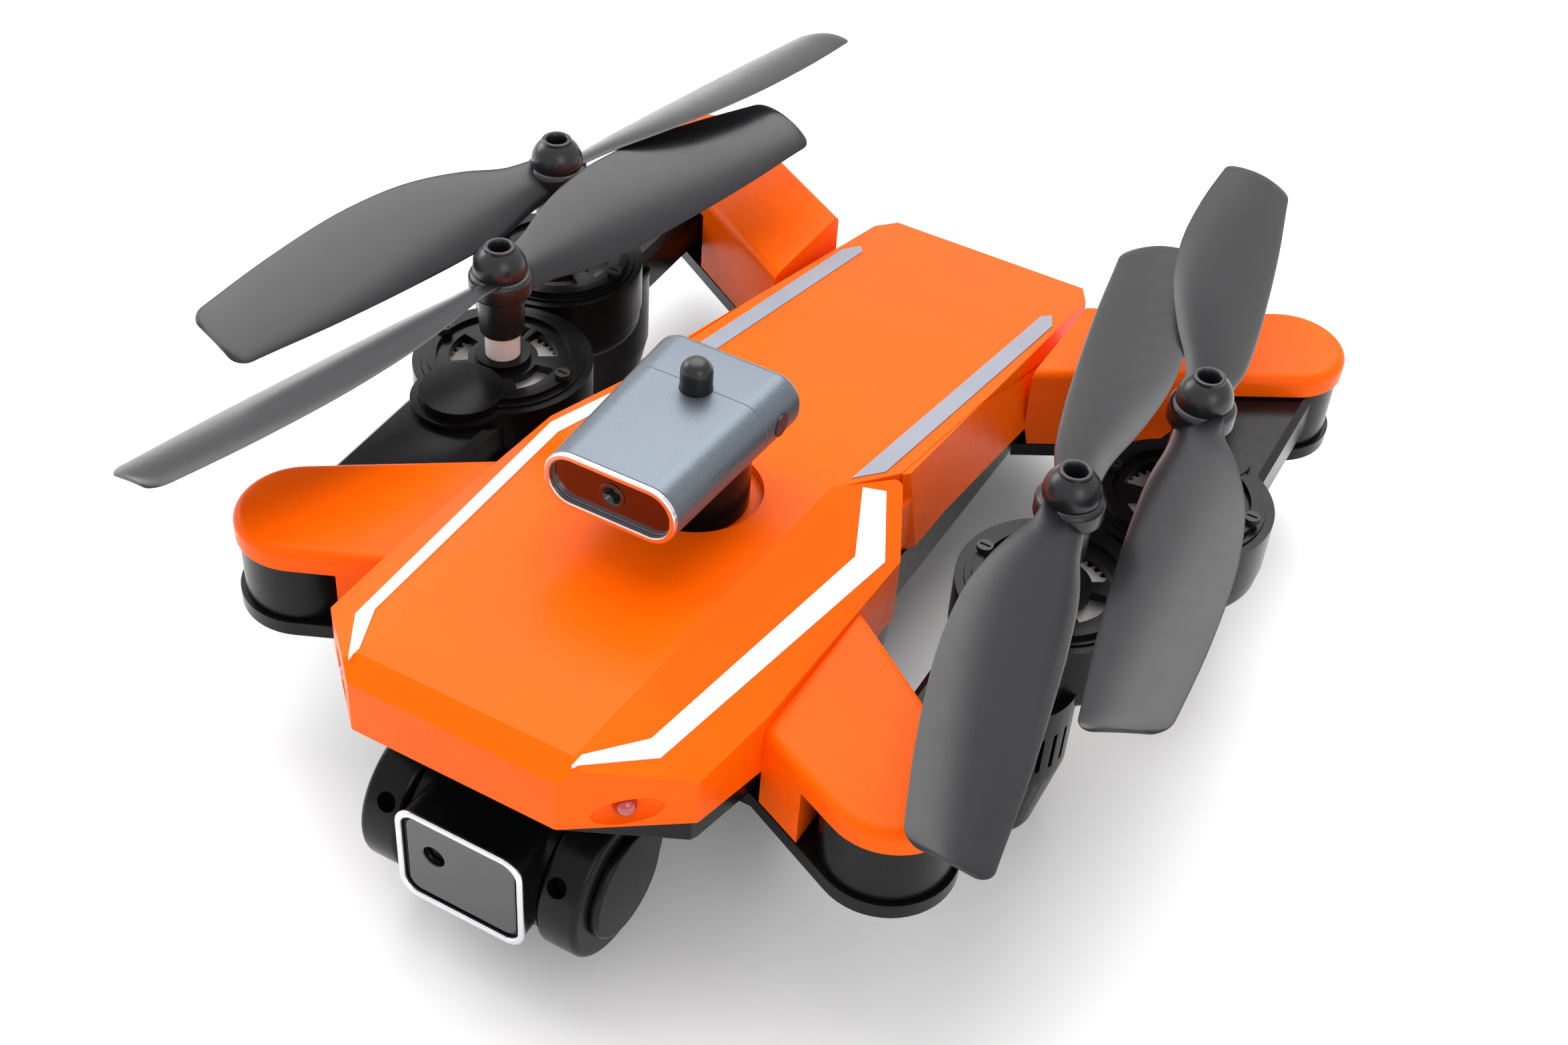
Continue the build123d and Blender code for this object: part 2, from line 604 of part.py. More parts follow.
def camera_brackets():
    """Two drums that hang from the nose pan and hold the camera between them."""
    drum = crosswise(DRUM_R, *TILT, *DRUM_X)
    drum = fillet(drum.edges().filter_by(GeomType.CIRCLE), 0.9)
    neck = Pos(sum(DRUM_X) / 2, TILT[0] + 3.5, 24.0) * Box(DRUM_X[1] - DRUM_X[0] - 1.8, 10.0, 20.0)
    neck &= under_line(PAN_UNDERSIDE)
    bracket = drum + neck
    bracket = bracket - crosswise(TRUNNION_R + 0.1, *TILT, 0, DRUM_X[0] + 3.0)
    bracket -= Pos(12.2, TILT[0] - 8.6, TILT[1] + 5.4) * Rot(60, 0, 0) * Cylinder(1.3, 5.0)
    return Compound(right_and_left(bracket))


def bracket_caps():
    """Raised round covers on the drums' outer faces."""
    cap = crosswise(7.2, *TILT, DRUM_X[1], DRUM_X[1] + 1.2)
    cap = fillet(cap.edges().sort_by(Axis.X)[-1], 0.6)
    return Compound(right_and_left(cap))


def camera_body():
    """The tilting camera housing with its trunnions."""
    block = rounded_slab(FACE_HALF - 0.3, FACE_Z[0] + 0.3, FACE_Z[1] - 0.3, FACE_Y, TILT[0] + 2.0, 2.6)
    barrel = crosswise(BARREL_R, *TILT, -CAMERA_HALF, CAMERA_HALF)
    body = block + barrel
    body -= rounded_slab(FACE_HALF - 1.2, FACE_Z[0] + 1.2, FACE_Z[1] - 1.2, FACE_Y - 1, FACE_Y + 1.6, 2.0)
    body -= Plane(origin=(-3.9, FACE_Y, 18.9), z_dir=(0, -1, 0)) * Cylinder(2.6, 14.0)
    for side in (1, -1):
        ends = sorted((side * CAMERA_HALF, side * (DRUM_X[0] + 2.8)))
        body += crosswise(TRUNNION_R, *TILT, *ends)
    return body


def camera_frame():
    """The bright metal frame round the camera's front."""
    outer = rounded_slab(FACE_HALF, *FACE_Z, FACE_Y - 0.7, FACE_Y, 2.8)
    inner = rounded_slab(FACE_HALF - 0.9, FACE_Z[0] + 0.9, FACE_Z[1] - 0.9, FACE_Y - 1.0, FACE_Y + 0.5, 2.1)
    return outer - inner


def camera_window():
    """The black glossy front panel with the lens opening."""
    panel = rounded_slab(FACE_HALF - 1.3, FACE_Z[0] + 1.3, FACE_Z[1] - 1.3, FACE_Y - 0.2, FACE_Y + 0.8, 1.8)
    return panel - Plane(origin=(-3.9, FACE_Y, 18.9), z_dir=(0, -1, 0)) * Cylinder(1.5, 10.0)


def camera_lens():
    """The lens barrel behind the front panel."""
    barrel = Plane(origin=(-3.9, FACE_Y + 0.9, 18.9), z_dir=(0, 1, 0)) * Cylinder(
        2.5, 5.0, align=(Align.CENTER, Align.CENTER, Align.MIN))
    return barrel


# ---- sensor head ----
def head_section(y, half, grow=0.0):
    """The head's outline at one station: flat top and bottom, round ends."""
    height = HEAD_Z[1] - HEAD_Z[0] + 2 * grow
    plane = Plane(origin=(0, y, sum(HEAD_Z) / 2), x_dir=(1, 0, 0), z_dir=(0, -1, 0))
    return plane * RectangleRounded(2 * (half + grow), height, height / 2 - 0.25)


def head_loft(y_from, y_to, grow=0.0):
    """The head between two stations, widening a little to the rear."""
    halves = []
    for y in (y_from, y_to):
        share = (y - HEAD_SPAN[0]) / (HEAD_SPAN[1] - HEAD_SPAN[0])
        halves.append(HEAD_HALF[0] + (HEAD_HALF[1] - HEAD_HALF[0]) * share)
    return loft([head_section(y_from, halves[0], grow), head_section(y_to, halves[1], grow)])


def head_sleeve():
    """The front sleeve of the sensor head."""
    sleeve = head_loft(HEAD_SPAN[0] + 0.8, HEAD_JOINT_Y) - head_loft(HEAD_SPAN[0], -31.0, -1.0)
    return sleeve - upright(DOME_HOLE_R, HEAD_DOME_AT, 54.5, 60)


def head_rear():
    """The rear cap of the sensor head."""
    rear = head_loft(HEAD_JOINT_Y, HEAD_SPAN[1])
    rear = fillet(rear.faces().sort_by(Axis.Y)[-1].edges(), 1.4)
    rear -= upright(DOME_HOLE_R, HEAD_DOME_AT, 54.5, 60)
    for side in (1, -1):
        rear -= crosswise(1.5, -23.6, 54.1, *sorted((side * 9.2, side * 12)))
    return rear


def head_trim():
    """The thin bright ring at the mouth of the head."""
    return head_loft(HEAD_SPAN[0], HEAD_SPAN[0] + 0.8, 0.0) - head_loft(HEAD_SPAN[0] - 0.5, -45.0, -0.8)


def head_window():
    """The dark red panel set back in the mouth."""
    panel = head_loft(-46.1, -44.2, -1.0)
    return panel - Plane(origin=(0, -45, 54.1), z_dir=(0, -1, 0)) * Cylinder(1.75, 6.0)


def head_lens():
    """The black lens tube in the middle of the red panel."""
    tube = Plane(origin=(0, -44.1, 54.1), z_dir=(0, -1, 0)) * Cylinder(
        1.75, 2.2, align=(Align.CENTER, Align.CENTER, Align.MIN))
    return tube - Plane(origin=(0, -46.3, 54.1), z_dir=(0, 1, 0)) * Cone(
        1.25, 0.5, 1.4, align=(Align.CENTER, Align.CENTER, Align.MIN))


def head_infrared_lenses():
    """The black dome on top of the head and the two small lenses in its sides."""
    dome = upright(DOME_HOLE_R, HEAD_DOME_AT, 54.5, 62.3)
    dome = fillet(dome.edges().filter_by(GeomType.CIRCLE).sort_by(Axis.Z)[-1], 1.8)
    lens = crosswise(1.5, -23.6, 54.1, 9.2, 10.2)
    return Compound([dome] + right_and_left(lens))


def head_stem():
    """The black turret that carries the head."""
    stem = upright(STEM_R, (0, HEAD_Y), STEM_BASE_Z, HEAD_Z[0])
    stem += upright(4.0, (0, HEAD_Y), STEM_BASE_Z - 3.2, STEM_BASE_Z)
    return stem + upright(5.4, (0, HEAD_Y), STEM_BASE_Z - 3.2, STEM_BASE_Z - 1.6)


def body_screws():
    """Four screws in the belly."""
    screws = []
    for x, y in ((17, -44), (17, 56)):
        head = upright(1.5, (x, y), BELLY_Z - 0.4, BELLY_Z)
        screws += right_and_left(head - Pos(x, y, BELLY_Z - 0.4) * Box(2.0, 0.4, 0.4))
    return Compound(screws)


def arm_nodes():
    """Every arm's pieces, right side built and left side mirrored."""
    nodes = {}
    for which, pivot, hub in (("front", FRONT_PIVOT, FRONT_HUB), ("rear", REAR_PIVOT, REAR_HUB)):
        pieces = {
            "arm_upper": arm_upper(which, pivot, hub),
            "arm_lower": arm_lower(which, pivot, hub),
            "gear_cover": gear_cover(pivot, hub),
            "cover_screws": cover_screws(pivot, hub),
            "motor": motor_can(pivot, hub),
            "pinion": pinion(pivot, hub),
            "main_gear": main_gear(pivot, hub),
            "propeller": propeller(which, hub),
        }
        for name, shape in pieces.items():
            nodes[f"{which}_right_{name}"] = shape
            nodes[f"{which}_left_{name}"] = mirror(shape, Plane.YZ)
    return nodes


def body_nodes():
    """The body, camera and sensor head."""
    caps = []
    for which, pivot, root in lug_places():
        caps += right_and_left(lug_cap(which, pivot, root))
    return {
        "upper_shell": upper_shell(),
        "hood_stripes": hood_stripes(),
        "lamp_panels": lamp_panels(),
        "nose_lamps": lamps(),
        "lug_caps": Compound(caps),
        "lower_shell": lower_shell(),
        "pivot_pins": pivot_pins(),
        "body_screws": body_screws(),
        "flight_board": flight_board(),
        "flow_camera": flow_camera(),
        "battery_cover": battery_cover(),
        "deck_stripes": deck_stripes(),
        "battery_tray": battery_tray(),
        "battery_cell": battery_cell(),
        "power_button": power_button(),
        "camera_brackets": camera_brackets(),
        "bracket_caps": bracket_caps(),
        "camera_body": camera_body(),
        "camera_frame": camera_frame(),
        "camera_window": camera_window(),
        "camera_lens": camera_lens(),
        "head_sleeve": head_sleeve(),
        "head_rear": head_rear(),
        "head_trim": head_trim(),
        "head_window": head_window(),
        "head_lens": head_lens(),
        "head_infrared_lenses": head_infrared_lenses(),
        "head_stem": head_stem(),
    }


os.makedirs("parts", exist_ok=True)
for name, shape in {**body_nodes(), **arm_nodes()}.items():
    export_step(Pos(0, CENTRE_SHIFT, 0) * shape, f"parts/{name}.step")
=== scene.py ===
import json
import math

import bmesh
import bpy
import numpy as np
from mathutils import Matrix, Vector

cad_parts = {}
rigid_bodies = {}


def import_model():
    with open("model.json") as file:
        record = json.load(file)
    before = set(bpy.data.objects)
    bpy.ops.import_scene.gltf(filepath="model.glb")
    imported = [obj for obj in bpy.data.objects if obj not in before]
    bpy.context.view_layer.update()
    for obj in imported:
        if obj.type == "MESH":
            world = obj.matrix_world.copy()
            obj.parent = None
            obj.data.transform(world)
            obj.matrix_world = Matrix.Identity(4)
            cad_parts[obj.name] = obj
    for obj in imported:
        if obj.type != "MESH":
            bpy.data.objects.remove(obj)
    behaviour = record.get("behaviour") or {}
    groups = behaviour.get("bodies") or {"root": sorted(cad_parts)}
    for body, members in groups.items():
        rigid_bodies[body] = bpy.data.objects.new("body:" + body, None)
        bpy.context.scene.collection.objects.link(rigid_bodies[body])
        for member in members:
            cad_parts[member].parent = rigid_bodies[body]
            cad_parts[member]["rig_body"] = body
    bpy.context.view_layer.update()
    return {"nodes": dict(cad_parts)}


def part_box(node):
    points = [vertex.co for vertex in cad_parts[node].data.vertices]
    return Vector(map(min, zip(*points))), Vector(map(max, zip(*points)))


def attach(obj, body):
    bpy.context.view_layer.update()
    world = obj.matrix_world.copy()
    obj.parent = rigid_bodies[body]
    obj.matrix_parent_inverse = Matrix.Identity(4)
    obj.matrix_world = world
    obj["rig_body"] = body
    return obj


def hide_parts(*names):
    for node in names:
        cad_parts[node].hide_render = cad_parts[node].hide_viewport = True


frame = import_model()


# ---- Camera ----
# The drone stands on its four motor feet, seen from in front of its nose, from the right and well above.
camera_data = bpy.data.cameras.new("camera")
camera_data.lens = 48.12
camera_data.sensor_width = 36.0
camera_data.clip_start = 0.01
camera_data.clip_end = 20.0
camera = bpy.data.objects.new("camera", camera_data)
azimuth, elevation, roll = math.radians(26.29), math.radians(41.23), math.radians(4.69)
reach = math.cos(elevation)
back = Vector((math.sin(azimuth) * reach, -math.cos(azimuth) * reach, math.sin(elevation)))
level = Vector((math.cos(azimuth), math.sin(azimuth), 0.0))
above = back.cross(level)
right = math.cos(roll) * level + math.sin(roll) * above
up = math.cos(roll) * above - math.sin(roll) * level
camera_position = (0.10038, -0.203199, 0.21469)
facing = Matrix((right, up, back)).transposed().to_4x4()
camera.matrix_world = Matrix.Translation(camera_position) @ facing
bpy.context.scene.collection.objects.link(camera)
bpy.context.scene.camera = camera
bpy.context.scene.view_settings.view_transform = "Standard"


# ---- Floor ----
# A wide sheet of matt white paper that the drone stands on; it runs out of sight on every side.
class Shade:
    """One output socket of a material: + - * / add Math nodes, add() adds any other node."""

    def __init__(self, tree, socket=None):
        self.tree = tree
        self.socket = socket

    def add(self, kind, settings=None, inputs=None, output=0):
        """A node of that kind: its settings first, then its sockets' values or links."""
        node = self.tree.nodes.new(kind)
        for name, value in (settings or {}).items():
            setattr(node, name, value)
        for key, value in (inputs or {}).items():
            if isinstance(value, Shade):
                self.tree.links.new(value.socket, node.inputs[key])
            else:
                node.inputs[key].default_value = value
        return Shade(self.tree, node.outputs[output] if len(node.outputs) else None)

    def math(self, operation, *values):
        """A Math node of this value and others."""
        return self.add("ShaderNodeMath", {"operation": operation}, dict(enumerate(values)))

    def __add__(self, other):
        return self.math("ADD", self, other)

    def __radd__(self, other):
        return self.math("ADD", other, self)

    def __sub__(self, other):
        return self.math("SUBTRACT", self, other)

    def __rsub__(self, other):
        return self.math("SUBTRACT", other, self)

    def __mul__(self, other):
        return self.math("MULTIPLY", self, other)

    def __rmul__(self, other):
        return self.math("MULTIPLY", other, self)

    def clamped(self, low, high):
        """This value mapped from low..high to 0..1 and kept there."""
        inputs = {"Value": self, "From Min": low, "From Max": high}
        return self.add("ShaderNodeMapRange", {"clamp": True}, inputs)

    def place(self):
        """The point on the object, in metres."""
        return self.add("ShaderNodeTexCoord", output="Object")

    def noise(self, scale, detail=2.0, rough=0.5):
        """Soft noise with about scale lumps to the metre."""
        inputs = {"Vector": self.place(), "Scale": scale, "Detail": detail, "Roughness": rough}
        return self.add("ShaderNodeTexNoise", None, inputs, "Fac")

    def mixed(self, share, first, second):
        """The first colour turning to the second as share goes from 0 to 1."""
        inputs = {0: share, 6: first, 7: second}
        return self.add("ShaderNodeMix", {"data_type": "RGBA"}, inputs, 2)

    def bump(self, height, distance):
        """A normal tilted by a height between 0 and 1 that stands for that distance in metres."""
        inputs = {"Height": height, "Distance": distance}
        return self.add("ShaderNodeBump", None, inputs)


def material(name, recipe):
    """A material whose surface shader is what recipe makes."""
    made = bpy.data.materials.new(name)
    made.use_nodes = True
    made.node_tree.nodes.clear()
    start = Shade(made.node_tree)
    start.add("ShaderNodeOutputMaterial", None, {"Surface": recipe(start)})
    return made


def paper(s):
    """Matt paper, a trace darker in wide soft patches."""
    tone = s.mixed(s.noise(6.0, 3.0), (0.92, 0.92, 0.92, 1.0), (0.95, 0.95, 0.95, 1.0))
    inputs = {"Base Color": tone, "Roughness": 0.9, "Specular IOR Level": 0.2}
    return s.add("ShaderNodeBsdfPrincipled", None, inputs)


floor_mesh = bpy.data.meshes.new("floor")
floor_mesh.from_pydata([(-9, -9, 0), (9, -9, 0), (9, 9, 0), (-9, 9, 0)], [], [(0, 1, 2, 3)])
floor = bpy.data.objects.new("floor", floor_mesh)
bpy.context.scene.collection.objects.link(floor)
floor_mesh.materials.append(material("white_paper", paper))


# ---- Lights ----
# A white room with a big soft box overhead, a lower one behind on the left and a weak one on the right.
# They stand well clear of the drone, so every shadow on the paper has a soft edge.
world = bpy.data.worlds.new("white_room")
world.use_nodes = True
world.node_tree.nodes["Background"].inputs["Color"].default_value = (1.0, 1.0, 1.0, 1.0)
world.node_tree.nodes["Background"].inputs["Strength"].default_value = 0.95
bpy.context.scene.world = world


def soft_box(name, size, watts, position, target):
    """A square soft box that faces its target."""
    data = bpy.data.lights.new(name, "AREA")
    data.shape = "SQUARE"
    data.size = size
    data.energy = watts
    box = bpy.data.objects.new(name, data)
    box.location = position
    box.rotation_euler = (Vector(target) - Vector(position)).to_track_quat("-Z", "Y").to_euler()
    bpy.context.scene.collection.objects.link(box)


soft_box("overhead_box", 1.2, 15.0, (-0.25, 0.45, 1.0), (0.0, 0.0, 0.02))
soft_box("left_box", 0.4, 2.6, (-0.75, 0.05, 0.4), (0.0, 0.0, 0.03))
soft_box("right_box", 0.5, 1.6, (0.7, -0.5, 0.5), (0.0, 0.0, 0.03))


# ---- Lower shell ----
# The black tub that carries everything: matt injection-moulded ABS with softened edges.
# Small steel screws hold it to the hood from below, and a small downward camera sits in its belly.
def plastic(colour, shade, rough, grain, depth, **extra):
    """Moulded plastic: a shade darker in patches, with a fine grain of that many lumps to the metre."""
    def recipe(s):
        patches = s.noise(55.0, 3.0, 0.6).clamped(0.35, 0.7)
        fine = s.noise(grain, 2.0, 0.6)
        inputs = {
            "Base Color": s.mixed(patches, (*colour, 1.0), (*shade, 1.0)),
            "Roughness": rough - 0.05 + 0.1 * s.noise(400.0, 2.0),
            "Normal": s.bump(fine, depth),
        }
        inputs.update(extra)
        return s.add("ShaderNodeBsdfPrincipled", None, inputs)
    return recipe


def moulded(node, finish, width=0.0003, crease=32.0):
    """The node's shape with every edge sharper than crease degrees rounded to about that width."""
    source = frame["nodes"][node]
    mesh = source.data.copy()
    mesh.name = node + "_form"
    mesh.materials.clear()
    mesh.materials.append(finish)
    work = bmesh.new()
    work.from_mesh(mesh)
    bmesh.ops.remove_doubles(work, verts=work.verts, dist=2e-6)
    bmesh.ops.dissolve_limit(work, angle_limit=math.radians(0.7), verts=work.verts, edges=work.edges)
    for face in work.faces:
        face.smooth = True
        face.material_index = 0
    for edge in work.edges:
        edge.smooth = len(edge.link_faces) == 2 and edge.calc_face_angle(0.0) < math.radians(crease)
    work.to_mesh(mesh)
    work.free()
    piece = bpy.data.objects.new(node + "_form", mesh)
    bpy.context.scene.collection.objects.link(piece)
    if width:
        rounding = piece.modifiers.new("rounding", "BEVEL")
        rounding.width = width
        rounding.segments = 3
        rounding.limit_method = "ANGLE"
        rounding.angle_limit = math.radians(crease)
        rounding.harden_normals = True
        rounding.use_clamp_overlap = True
    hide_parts(node)
    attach(piece, source["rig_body"])
    return piece


black = material("black_plastic", plastic(
    (0.003, 0.003, 0.0035), (0.005, 0.005, 0.0055), 0.26, 2600.0, 0.000012, **{"Specular IOR Level": 0.16}))
gloss_black = material("gloss_black", plastic(
    (0.004, 0.004, 0.005), (0.006, 0.006, 0.007), 0.1, 500.0, 0.000001,
    **{"Coat Weight": 0.5, "Coat Roughness": 0.05}))


def bright_metal(s):
    """Nickel-plated metal with faint wipe marks."""
    tone = s.mixed(s.noise(900.0, 2.0), (0.78, 0.78, 0.8, 1.0), (0.7, 0.7, 0.73, 1.0))
    inputs = {"Base Color": tone, "Metallic": 1.0, "Roughness": 0.2 + 0.1 * s.noise(2500.0, 2.0)}
    return s.add("ShaderNodeBsdfPrincipled", None, inputs)


bright = material("bright_metal", bright_metal)
moulded("lower_shell", black, 0.0005)
moulded("body_screws", bright, 0.0001)
moulded("flow_camera", gloss_black, 0.0002)


# ---- Flight board ----
# A green glass-fibre circuit board with its chips, screwed to pegs under the hood.
def board_green(s):
    """Solder mask over glass fibre, a little darker where copper lies beneath."""
    copper = s.noise(700.0, 1.0).clamped(0.45, 0.55)
    tone = s.mixed(copper, (0.01, 0.09, 0.035, 1.0), (0.02, 0.15, 0.06, 1.0))
    return s.add("ShaderNodeBsdfPrincipled", None, {"Base Color": tone, "Roughness": 0.3 + 0.1 * copper})


moulded("flight_board", material("board_green", board_green), 0.0)


# ---- Arm pivots ----
# Each arm turns on a steel pin between the shells.
# A round cap of the hood's orange plastic closes the lug above it.
orange = material("orange_plastic", plastic(
    (0.90, 0.106, 0.0), (0.87, 0.096, 0.0), 0.28, 3800.0, 0.00002, **{"Specular IOR Level": 0.07}))
moulded("pivot_pins", bright, 0.0002)
moulded("lug_caps", orange, 0.0008)


# ---- Hood ----
# The orange upper shell, moulded in satin ABS, with two printed grey bands that run back from the nose.
# A separate panel of the same plastic closes each front corner and holds a clear red lamp.
moulded("upper_shell", orange, 0.0011, 12.0)
stripe_grey = material("stripe_print", plastic((0.72, 0.73, 0.76), (0.66, 0.67, 0.70), 0.3, 3000.0, 0.00001))
moulded("hood_stripes", stripe_grey, 0.0)
moulded("lamp_panels", orange, 0.0003)
lamp_red = material("lamp_red", plastic(
    (0.62, 0.045, 0.03), (0.5, 0.03, 0.02), 0.08, 500.0, 0.000001,
    **{"Coat Weight": 1.0, "Coat Roughness": 0.03, "Transmission Weight": 0.35}))
moulded("nose_lamps", lamp_red, 0.0)


# ---- Camera ----
# A black barrel housing that tilts between two black drums under the nose.
# Its face is a bright plated frame round a glossy dark pane with the small lens at the left.
moulded("camera_brackets", black, 0.0003)
moulded("bracket_caps", black, 0.0003)
moulded("camera_body", black, 0.0005)
moulded("camera_frame", bright, 0.0003)
moulded("camera_window", gloss_black, 0.0002)
moulded("camera_lens", gloss_black, 0.0002)


# ---- Sensor head ----
# A small head on a black stem, painted in a blue-grey metallic, with a bright trim ring in front.
# Behind the trim lies a deep red clear panel with a black lens; one more lens looks out at each side.
def metallic_paint(s):
    """Fine metal flakes under a satin coat."""
    flakes = s.noise(9000.0, 1.0).clamped(0.4, 0.65)
    tone = s.mixed(flakes, (0.11, 0.13, 0.155, 1.0), (0.17, 0.195, 0.225, 1.0))
    inputs = {"Base Color": tone, "Metallic": 0.75, "Roughness": 0.34 + 0.12 * flakes,
              "Normal": s.bump(s.noise(3500.0, 2.0), 0.00001)}
    return s.add("ShaderNodeBsdfPrincipled", None, inputs)


head_paint = material("blue_grey_metallic", metallic_paint)
red_panel = material("red_panel", plastic(
    (0.045, 0.003, 0.004), (0.03, 0.002, 0.003), 0.16, 500.0, 0.000001,
    **{"Coat Weight": 0.3, "Coat Roughness": 0.08}))
moulded("head_stem", black, 0.0003)
moulded("head_sleeve", head_paint, 0.0002)
moulded("head_rear", head_paint, 0.0002)
moulded("head_trim", bright, 0.0002)
moulded("head_window", red_panel, 0.0)
moulded("head_lens", gloss_black, 0.0001)
lens_black = material("lens_black", plastic(
    (0.003, 0.003, 0.004), (0.004, 0.004, 0.005), 0.35, 500.0, 0.000001))
moulded("head_infrared_lenses", lens_black, 0.0)


# ---- Battery module ----
# A shrink-wrapped lithium cell on a black base plate, under an orange wedge that makes the rear deck.
# Two printed grey-blue bands run along the cover, and a black push button sits in its tail face.
wrap_blue = material("cell_wrap", plastic((0.03, 0.08, 0.3), (0.025, 0.065, 0.25), 0.3, 1200.0, 0.00004))
stripe_blue = material("blue_grey_print", plastic(
    (0.26, 0.27, 0.32), (0.23, 0.24, 0.29), 0.3, 3000.0, 0.00001))
moulded("battery_tray", black, 0.0003)
moulded("battery_cell", wrap_blue, 0.0)
moulded("battery_cover", orange, 0.0009, 12.0)
moulded("deck_stripes", stripe_blue, 0.0)
moulded("power_button", black, 0.0002)


# ---- Arms ----
# Each arm is a black two-part moulding round its motor; a screwed figure-eight cover hides the gears.
# The motor can is bright steel with a brass pinion that drives the big white nylon gear under the propeller.
nylon = material("white_nylon", plastic((0.8, 0.74, 0.70), (0.72, 0.67, 0.64), 0.35, 1500.0, 0.00001))
black_steel = material("black_steel", plastic(
    (0.02, 0.02, 0.022), (0.03, 0.03, 0.032), 0.35, 3000.0, 0.00001, **{"Metallic": 0.6}))


def turned_brass(s):
    """Machined brass, slightly tarnished in patches."""
    tone = s.mixed(s.noise(1500.0, 2.0), (0.80, 0.56, 0.22, 1.0), (0.62, 0.42, 0.16, 1.0))
    inputs = {"Base Color": tone, "Metallic": 1.0, "Roughness": 0.25 + 0.15 * s.noise(3000.0, 2.0)}
    return s.add("ShaderNodeBsdfPrincipled", None, inputs)


brass = material("turned_brass", turned_brass)
arms = [f"{end}_{side}" for end in ("front", "rear") for side in ("right", "left")]
for arm in arms:
    for name, slot, finish, width in (
            ("arm_upper", "black_shell", black, 0.0005),
            ("arm_lower", "black_shell", black, 0.0004),
            ("motor", "motor_can", bright, 0.0001),
            ("pinion", "brass", brass, 0.0),
            ("main_gear", "white_nylon", nylon, 0.0),
            ("gear_cover", "black_shell", black, 0.0003),
            ("cover_screws", "steel", black_steel, 0.0001)):
        moulded(f"{arm}_{name}", finish, width)


# ---- Propellers ----
# Two blades moulded with their hub in dark grey plastic, pushed onto the gear's shaft.
# The high edge of each blade bulges, the low edge is nearly straight, the tip is square with round corners.
def smooth_through(x, places, values):
    """A smooth curve through the given points: cubic pieces whose slopes are those of their neighbours."""
    places, values = np.asarray(places, float), np.asarray(values, float)
    slopes = np.gradient(values, places)
    k = np.clip(np.searchsorted(places, x, side="right") - 1, 0, len(places) - 2)
    span = places[k + 1] - places[k]
    t = (x - places[k]) / span
    return (values[k] * (1 + 2 * t) * (1 - t) ** 2 + slopes[k] * span * t * (1 - t) ** 2
            + values[k + 1] * t ** 2 * (3 - 2 * t) + slopes[k + 1] * span * t ** 2 * (t - 1))


def wrapped_grid(points):
    """Vertices and faces of a grid of closed rings (rings, around, 3), its ends capped by a centre point."""
    rings, around = points.shape[:2]
    vertices = points.reshape(-1, 3)
    ring = np.arange(rings - 1)[:, None] * around
    step = np.arange(around)[None, :]
    following = (step + 1) % around
    corners = [ring + step, ring + following, ring + around + following, ring + around + step]
    faces = np.stack(corners, -1).reshape(-1, 4).tolist()
    for index in (0, rings - 1):
        centre = len(vertices)
        vertices = np.vstack([vertices, points[index].mean(0)])
        a = index * around + np.arange(around)
        b = index * around + (np.arange(around) + 1) % around
        rim = [b, a] if index == 0 else [a, b]
        faces += np.stack(rim + [np.full(around, centre)], -1).tolist()
    return vertices, faces


def solid_piece(name, parts, body, finish, sharp=40.0):
    """One object from several (vertices, faces) parts."""
    vertices, faces, offset = [], [], 0
    for points, polygons in parts:
        vertices.append(points)
        faces += [[v + offset for v in polygon] for polygon in polygons]
        offset += len(points)
    mesh = bpy.data.meshes.new(name)
    mesh.from_pydata(np.vstack(vertices).tolist(), [], faces)
    work = bmesh.new()
    work.from_mesh(mesh)
    bmesh.ops.recalc_face_normals(work, faces=work.faces)
    for face in work.faces:
        face.smooth = True
    for edge in work.edges:
        edge.smooth = edge.calc_face_angle(0.0) < math.radians(sharp)
    work.to_mesh(mesh)
    work.free()
    mesh.materials.append(finish)
    piece = bpy.data.objects.new(name, mesh)
    bpy.context.scene.collection.objects.link(piece)
    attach(piece, body)
    return piece


def turned(profile, centre, around=72):
    """A surface of revolution: each (radius, height) pair becomes a ring about the upright axis."""
    profile = np.asarray(profile, float)
    angle = np.linspace(0, 2 * np.pi, around, endpoint=False)
    radius, height = profile[:, 0][:, None], profile[:, 1][:, None]
    x = centre[0] + radius * np.cos(angle)
    y = centre[1] + radius * np.sin(angle)
    z = np.broadcast_to(height, x.shape)
    return wrapped_grid(np.stack([x, y, z], -1))


PROP_R = 0.0615
BLADE_PLACES = (0.0025, 0.007, 0.013, 0.022, 0.031, 0.046, 0.058, 0.0615)
BLADE_HALF_CHORDS = (0.0034, 0.0039, 0.0057, 0.0072, 0.0076, 0.0069, 0.0056, 0.0052)
BLADE_SHIFTS = (0.0, 0.0002, 0.0007, 0.0015, 0.0017, 0.0011, 0.0003, 0.0)
TIP_CORNER = 0.0022
TIP_CORNER_WIDTH = 0.0021
ROOT_PITCH = 30.0
PITCH_FALL = 13.0
BLADE_THICKNESS = 0.00048
BLADE_CAMBER = 0.09
BLADE_ABOVE_NECK = 0.0086
FRONT_TURN = 11.5
REAR_TURN = 12.5
dark_grey = material("propeller_grey", plastic(
    (0.008, 0.008, 0.010), (0.011, 0.011, 0.013), 0.3, 2200.0, 0.000006, **{"Specular IOR Level": 0.45}))


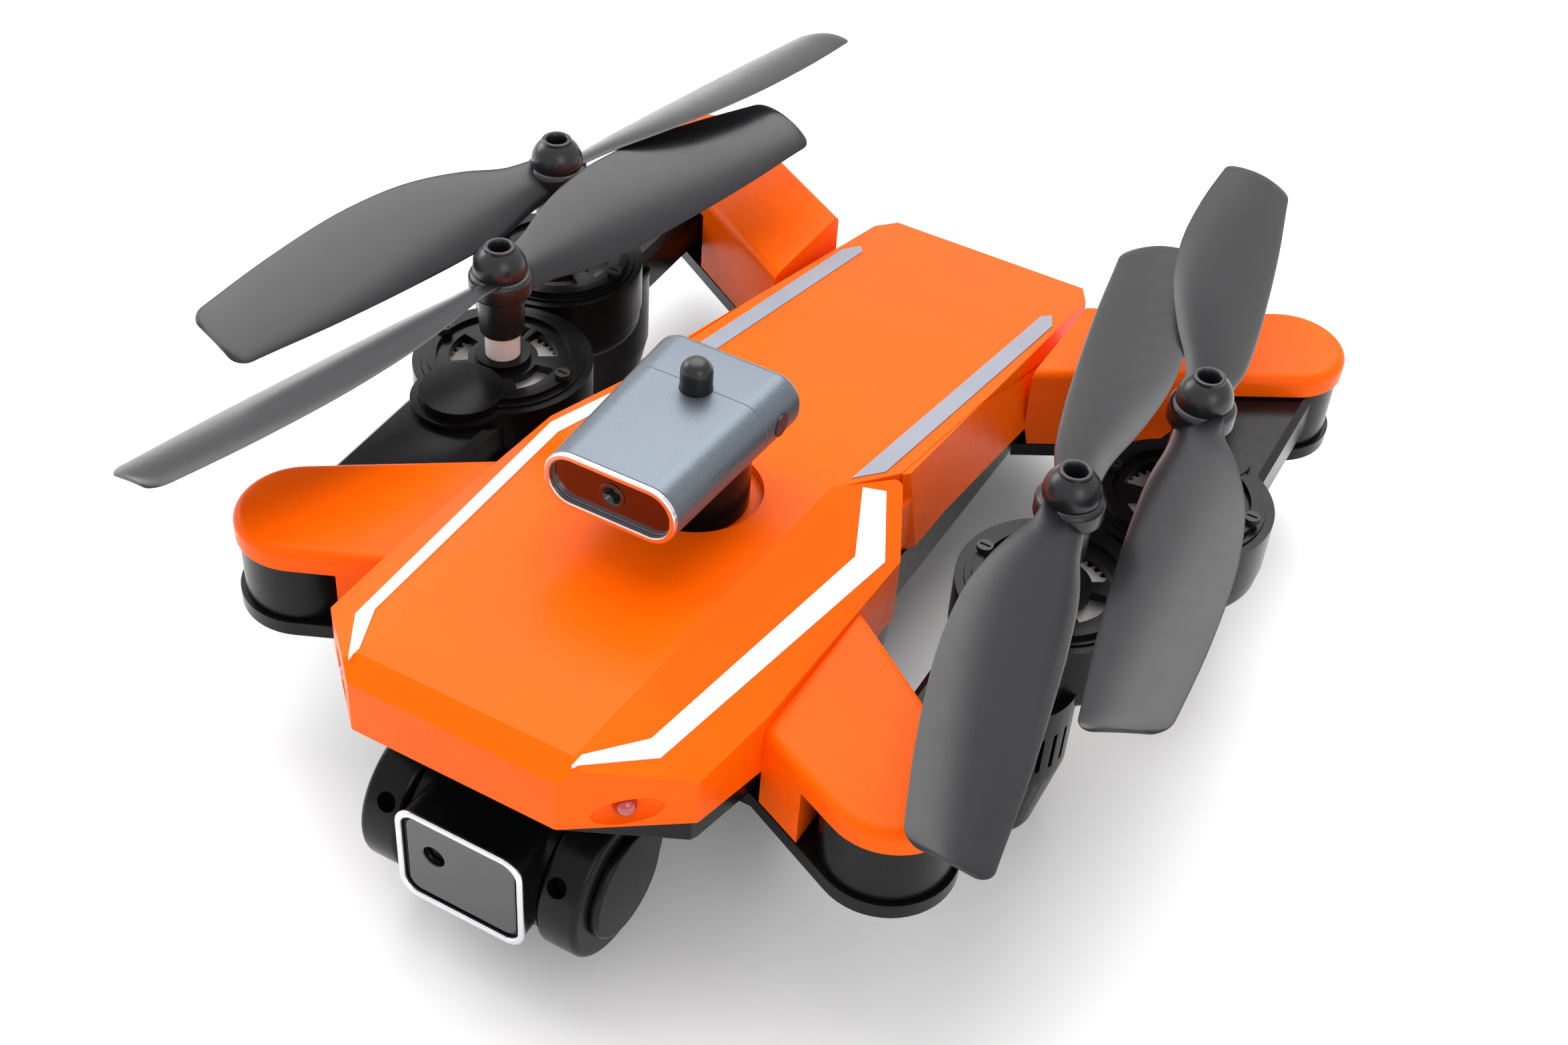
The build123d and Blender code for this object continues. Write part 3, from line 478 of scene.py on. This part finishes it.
def blade(handed, stations=72, around=40):
    """Rings of a thin section along the blade.

    Across it is half a chord times the cosine of the angle round the ring; upwards it is the camber plus a
    thickness that follows the sine.
    The pitch falls evenly from root to tip, and a quarter circle takes each corner off the tip.
    """
    s = np.linspace(0, 1, stations)
    root = BLADE_PLACES[0]
    radius = root + (PROP_R - root) * (1 - (1 - s) ** 1.6)
    half = smooth_through(radius, BLADE_PLACES, BLADE_HALF_CHORDS)
    shift = smooth_through(radius, BLADE_PLACES, BLADE_SHIFTS)
    corner = np.clip((radius - (PROP_R - TIP_CORNER)) / TIP_CORNER, 0, 1)
    half = half - TIP_CORNER_WIDTH * (1 - np.sqrt(np.clip(1 - corner ** 2, 0, 1)))
    pitch = np.radians(ROOT_PITCH - PITCH_FALL * radius / PROP_R) * handed
    thick = BLADE_THICKNESS * (1.25 - 0.6 * radius / PROP_R) * np.where(corner > 0.98, 0.35, 1.0)
    angle = np.linspace(0, 2 * np.pi, around, endpoint=False)[None, :]
    across = np.cos(angle) * half[:, None]
    camber = BLADE_CAMBER * half[:, None] * (1 - np.cos(angle) ** 2)
    lift = camber + thick[:, None] * np.sin(angle) * np.abs(np.sin(angle)) ** 0.2
    across = across + handed * shift[:, None]
    cos, sin = np.cos(pitch)[:, None], np.sin(pitch)[:, None]
    x = across * cos - lift * sin
    z = across * sin + lift * cos
    y = np.broadcast_to(radius[:, None], x.shape)
    return np.stack([x, y, z], -1)


def rotated(points, turn):
    """The points turned by that angle about the upright axis."""
    cos, sin = math.cos(turn), math.sin(turn)
    return points @ np.array([[cos, sin, 0], [-sin, cos, 0], [0, 0, 1]])


def arc(centre, radius, start, end, count=10):
    """Profile points on a circle, from one angle to another in degrees."""
    angle = np.radians(np.linspace(start, end, count))
    pairs = zip(np.cos(angle), np.sin(angle))
    return [(centre[0] + radius * c, centre[1] + radius * s) for c, s in pairs]


for arm in arms:
    low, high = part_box(f"{arm}_propeller")
    gear_low, gear_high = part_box(f"{arm}_main_gear")
    hub = ((gear_low.x + gear_high.x) / 2, (gear_low.y + gear_high.y) / 2)
    base, top = low.z, high.z
    side = 1 if "right" in arm else -1
    handed = side if "front" in arm else -side
    turn = math.radians(FRONT_TURN if "front" in arm else REAR_TURN) * side
    blade_z = base + BLADE_ABOVE_NECK
    parts = []
    for half_turn in (0.0, math.pi):
        points = rotated(blade(handed), turn + half_turn) + np.array([hub[0], hub[1], blade_z])
        parts.append(wrapped_grid(points))
    collar = [(0.0001, base), (0.0026, base)] + arc((0.0026, base + 0.0006), 0.0006, -90, 0, 5)
    collar += [(0.00335, base + 0.005), (0.0034, blade_z - 0.0022)]
    collar += arc((0.0039, blade_z - 0.0012), 0.0006, -90, 0, 5)
    collar += arc((0.0036, blade_z + 0.0006), 0.0009, 0, 80, 6)
    collar += [(0.0037, blade_z + 0.0014)]
    collar += arc((0.0, top - 0.0036), 0.0038, -8, 55, 12)
    collar += arc((0.00185, top - 0.0004), 0.0004, 40, 150, 6)
    collar += [(0.0014, top - 0.0012), (0.0013, top - 0.004), (0.0001, top - 0.0041)]
    parts.append(turned(collar, hub))
    piece = solid_piece(f"{arm}_propeller_form", parts, f"{arm}_rotor", dark_grey)
    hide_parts(f"{arm}_propeller")
